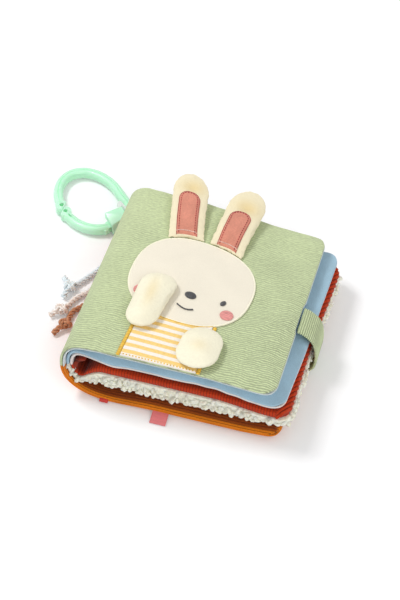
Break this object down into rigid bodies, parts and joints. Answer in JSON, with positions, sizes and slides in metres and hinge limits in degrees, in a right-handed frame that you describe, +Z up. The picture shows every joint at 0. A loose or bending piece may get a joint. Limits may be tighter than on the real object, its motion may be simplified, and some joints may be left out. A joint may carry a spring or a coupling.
{
  "type": "crinkle cloth book",
  "caption": "Closed padded cloth book lying on its back cover, with a soft animal on the front, two crinkle leaves, a strap, knotted cords and a ring clip.",
  "frame": {"origin": "centre of the flat underside of the back cover", "axes": "+X from the spine to the fore edge, +Y to the head of the book, +Z up"},
  "size_m": [0.2362, 0.2163, 0.0694],
  "materials": {
    "green_ribbed_cloth": "pale green ribbed cotton with fine wavy ribs",
    "caramel_corduroy": "caramel corduroy",
    "caramel_lining": "caramel corduroy lining, wales along the cover",
    "pale_lining": "smooth pale blue lining",
    "white_wadding": "soft polyester wadding",
    "crinkle_film": "thin crackling film",
    "blue_velour": "short-pile velour",
    "pale_page_cloth": "smooth pale cotton",
    "rust_corduroy": "wide-wale corduroy",
    "cream_sherpa": "thick curly pile",
    "cream_velour": "smooth velour",
    "cream_plush": "soft plush",
    "salmon_plush": "soft plush",
    "grey_thread": "satin-stitched thread",
    "pink_thread": "satin-stitched thread",
    "striped_jersey": "cotton with yellow and white stripes",
    "golden_thread": "dense satin stitch",
    "pink_ribbon": "blank satin ribbon",
    "red_ribbon": "blank satin ribbon",
    "hook_tape": "hook side of a touch fastener",
    "loop_tape": "loop side of a touch fastener",
    "mint_plastic": "smooth moulded plastic",
    "blue_cord": "soft twisted cord",
    "peach_cord": "soft twisted cord",
    "brown_cord": "soft twisted cord"
  },
  "bodies": {
    "base": {"back_cover_cloth": "caramel_corduroy", "back_cover_wadding": "white_wadding", "back_cover_lining": "caramel_lining", "pink_tag": "pink_ribbon", "red_tag": "red_ribbon", "loop_patch": "loop_tape", "ring_loop": "pale_lining", "cord_blue": "blue_cord", "knot_blue": "blue_cord", "cord_peach": "peach_cord", "knot_peach": "peach_cord", "cord_brown": "brown_cord", "knot_brown": "brown_cord"},
    "front_board": {"front_cover_cloth": "green_ribbed_cloth", "front_cover_wadding": "white_wadding", "front_cover_lining": "pale_lining", "head": "cream_velour", "nose": "grey_thread", "mouth": "grey_thread", "eye_left": "grey_thread", "eye_right": "grey_thread", "cheek_left": "pink_thread", "cheek_right": "pink_thread", "striped_body": "striped_jersey", "body_trim_left": "golden_thread", "body_trim_right": "golden_thread"},
    "upper_leaf": {"page_1_top": "blue_velour", "page_1_film": "crinkle_film", "page_1_underside": "pale_page_cloth"},
    "lower_leaf": {"page_2_top": "rust_corduroy", "page_2_film": "crinkle_film", "page_2_underside": "cream_sherpa", "gutter_strip": "rust_corduroy"},
    "left_ear": {"ear_left": "cream_plush", "ear_left_patch": "salmon_plush"},
    "right_ear": {"ear_right": "cream_plush", "ear_right_patch": "salmon_plush"},
    "left_paw": {"paw_left": "cream_plush"},
    "right_paw": {"paw_right": "cream_plush"},
    "strap": {"closure_strap": "green_ribbed_cloth", "hook_patch": "hook_tape"},
    "ring": {"ring_frame": "mint_plastic", "gate_pin": "mint_plastic"},
    "gate": {"ring_gate": "mint_plastic"}
  },
  "joints": [
    {"name": "cover_open", "type": "hinge", "parent": "base", "child": "front_board", "pos_m": [-0.075, 0, 0.03], "axis": [0, -1, 0], "range_deg": [0, 150], "deforming": ["closure_strap", "hook_patch"]},
    {"name": "page_1_turn", "type": "hinge", "parent": "base", "child": "upper_leaf", "pos_m": [-0.075, 0, 0.03], "axis": [0, -1, 0], "range_deg": [0, 100]},
    {"name": "page_2_turn", "type": "hinge", "parent": "base", "child": "lower_leaf", "pos_m": [-0.075, 0, 0.03], "axis": [0, -1, 0], "range_deg": [0, 50]},
    {"name": "ear_left_fold", "type": "hinge", "parent": "front_board", "child": "left_ear", "pos_m": [-0.0179, 0.0322, 0.05875], "axis": [1, 0, 0], "range_deg": [0, 135]},
    {"name": "ear_right_fold", "type": "hinge", "parent": "front_board", "child": "right_ear", "pos_m": [0.0111, 0.028, 0.05581], "axis": [1, 0, 0], "range_deg": [0, 135]},
    {"name": "paw_left_lift", "type": "hinge", "parent": "front_board", "child": "left_paw", "pos_m": [-0.0267, -0.0535, 0.06294], "axis": [1, 0, 0], "range_deg": [0, 145]},
    {"name": "paw_right_lift", "type": "hinge", "parent": "front_board", "child": "right_paw", "pos_m": [0.0205, -0.0405, 0.05983], "axis": [-1, 0, 0], "range_deg": [0, 145]},
    {"name": "strap_release", "type": "hinge", "parent": "front_board", "child": "strap", "pos_m": [0.0759, -0.0042, 0.04469], "axis": [0, -1, 0], "range_deg": [0, 95]},
    {"name": "ring_swing", "type": "hinge", "parent": "base", "child": "ring", "pos_m": [-0.08439, 0.10053, 0.0011], "axis": [0, 0, 1], "range_deg": [-12, 5]},
    {"name": "gate_open", "type": "hinge", "parent": "ring", "child": "gate", "pos_m": [-0.08939, 0.08074, 0.0011], "axis": [0, 0, -1], "range_deg": [0, 25]}
  ],
  "couplings": [
    {"joint": "page_1_turn", "follows": "cover_open", "ratio": 0.66667},
    {"joint": "page_2_turn", "follows": "cover_open", "ratio": 0.33333}
  ]
}
